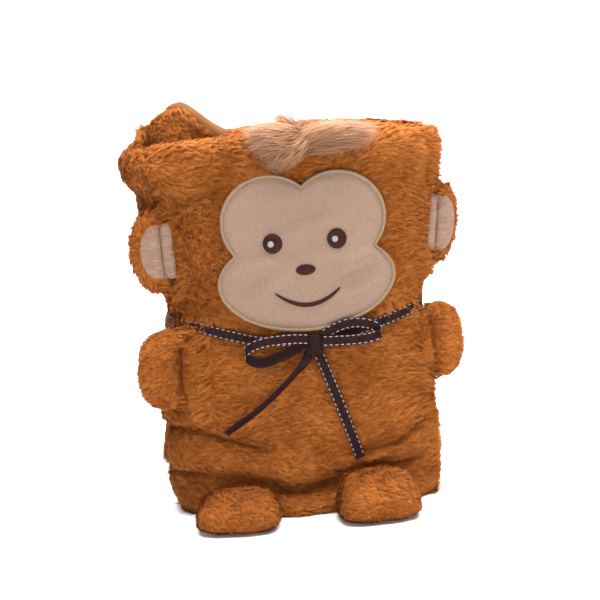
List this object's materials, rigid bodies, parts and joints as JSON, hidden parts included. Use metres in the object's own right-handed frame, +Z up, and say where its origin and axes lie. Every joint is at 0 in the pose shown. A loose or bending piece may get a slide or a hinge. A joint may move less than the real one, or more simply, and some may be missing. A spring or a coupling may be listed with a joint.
{
  "type": "rolled plush monkey blanket",
  "caption": "Plush baby blanket folded, rolled and tied at the neck with a ribbon bow to make a monkey, with appliqued face, folding ears and arms, lifting feet and a hair tuft.",
  "frame": {"origin": "on the floor, at the middle of the rolled blanket", "axes": "+Z up along the roll, -Y the way the face looks, +X to the right of someone looking at the face"},
  "size_m": [0.3017, 0.173, 0.3876],
  "materials": {
    "plush": "deep pile fleece",
    "velour": "short brushed pile",
    "border_thread": "satin stitch",
    "glint_thread": "satin stitch",
    "brown_thread": "satin stitch",
    "seam_thread": "sewing thread",
    "hair": "long pile",
    "tape": "woven",
    "filling": "loose fibre",
    "ribbon": "satin weave"
  },
  "bodies": {
    "body": {"blanket_roll": "plush", "edge_binding": "tape", "face_patch": "velour", "face_border": "border_thread", "eye_left": "brown_thread", "eye_right": "brown_thread", "eye_glint_left": "glint_thread", "eye_glint_right": "glint_thread", "nose": "brown_thread", "mouth": "brown_thread", "hair_backing": "tape", "hair_tuft": "hair", "ear_root_left": "velour", "ear_crease_left": "seam_thread", "ear_root_right": "velour", "ear_crease_right": "seam_thread", "arm_root_left": "plush", "arm_crease_left": "seam_thread", "arm_root_right": "plush", "arm_crease_right": "seam_thread", "foot_seam_left": "seam_thread", "foot_seam_right": "seam_thread", "ribbon_band": "ribbon", "bow_knot": "ribbon"},
    "ear_left": {"ear_shell_left": "plush", "ear_lining_left": "velour", "ear_filling_left": "filling"},
    "arm_left": {"arm_front_left": "plush", "arm_back_left": "plush", "arm_filling_left": "filling"},
    "foot_left": {"foot_upper_left": "plush", "foot_sole_left": "plush", "foot_filling_left": "filling"},
    "loop_left": {"bow_loop_left": "ribbon"},
    "tail_left": {"ribbon_tail_left": "ribbon"},
    "ear_right": {"ear_shell_right": "plush", "ear_lining_right": "velour", "ear_filling_right": "filling"},
    "arm_right": {"arm_front_right": "plush", "arm_back_right": "plush", "arm_filling_right": "filling"},
    "foot_right": {"foot_upper_right": "plush", "foot_sole_right": "plush", "foot_filling_right": "filling"},
    "loop_right": {"bow_loop_right": "ribbon"},
    "tail_right": {"ribbon_tail_right": "ribbon"}
  },
  "joints": [
    {"name": "ear_left_fold", "type": "hinge", "parent": "body", "child": "ear_left", "pos_m": [-0.12202, -0.04043, 0.256], "axis": [-0.0299, -0.0062, 0.9995], "range_deg": [-5, 55], "stiffness_Nm_per_rad": 0.04},
    {"name": "arm_left_fold", "type": "hinge", "parent": "body", "child": "arm_left", "pos_m": [-0.11402, -0.03892, 0.145], "axis": [0.0564, 0.0156, 0.9983], "range_deg": [-8, 45], "stiffness_Nm_per_rad": 0.04},
    {"name": "foot_left_lift", "type": "hinge", "parent": "body", "child": "foot_left", "pos_m": [-0.06952, -0.05308, 0.032], "axis": [-0.9858, 0.168, 0], "range_deg": [0, 70]},
    {"name": "loop_left_swing", "type": "hinge", "parent": "body", "child": "loop_left", "pos_m": [0.0016, -0.06346, 0.16664], "axis": [0, 0.6947, 0.7193], "range_deg": [0, 45], "stiffness_Nm_per_rad": 0.002},
    {"name": "tail_left_lift", "type": "hinge", "parent": "body", "child": "tail_left", "pos_m": [0.00363, -0.05689, 0.15175], "axis": [-0.6526, 0, 0.7577], "range_deg": [0, 80]},
    {"name": "ear_right_fold", "type": "hinge", "parent": "body", "child": "ear_right", "pos_m": [0.12857, -0.04223, 0.262], "axis": [-0.1188, 0.0235, -0.9926], "range_deg": [-12, 70], "stiffness_Nm_per_rad": 0.04},
    {"name": "arm_right_fold", "type": "hinge", "parent": "body", "child": "arm_right", "pos_m": [0.11826, -0.04249, 0.151], "axis": [0.0676, -0.0204, -0.9975], "range_deg": [-3, 60], "stiffness_Nm_per_rad": 0.04},
    {"name": "foot_right_lift", "type": "hinge", "parent": "body", "child": "foot_right", "pos_m": [0.05301, -0.05767, 0.04], "axis": [-0.9973, -0.0734, 0], "range_deg": [0, 70]},
    {"name": "loop_right_swing", "type": "hinge", "parent": "body", "child": "loop_right", "pos_m": [0.0164, -0.06346, 0.16664], "axis": [0, -0.6947, -0.7193], "range_deg": [0, 45], "stiffness_Nm_per_rad": 0.002},
    {"name": "tail_right_lift", "type": "hinge", "parent": "body", "child": "tail_right", "pos_m": [0.01217, -0.05698, 0.1511], "axis": [-0.9561, 0, -0.293], "range_deg": [0, 80]}
  ]
}
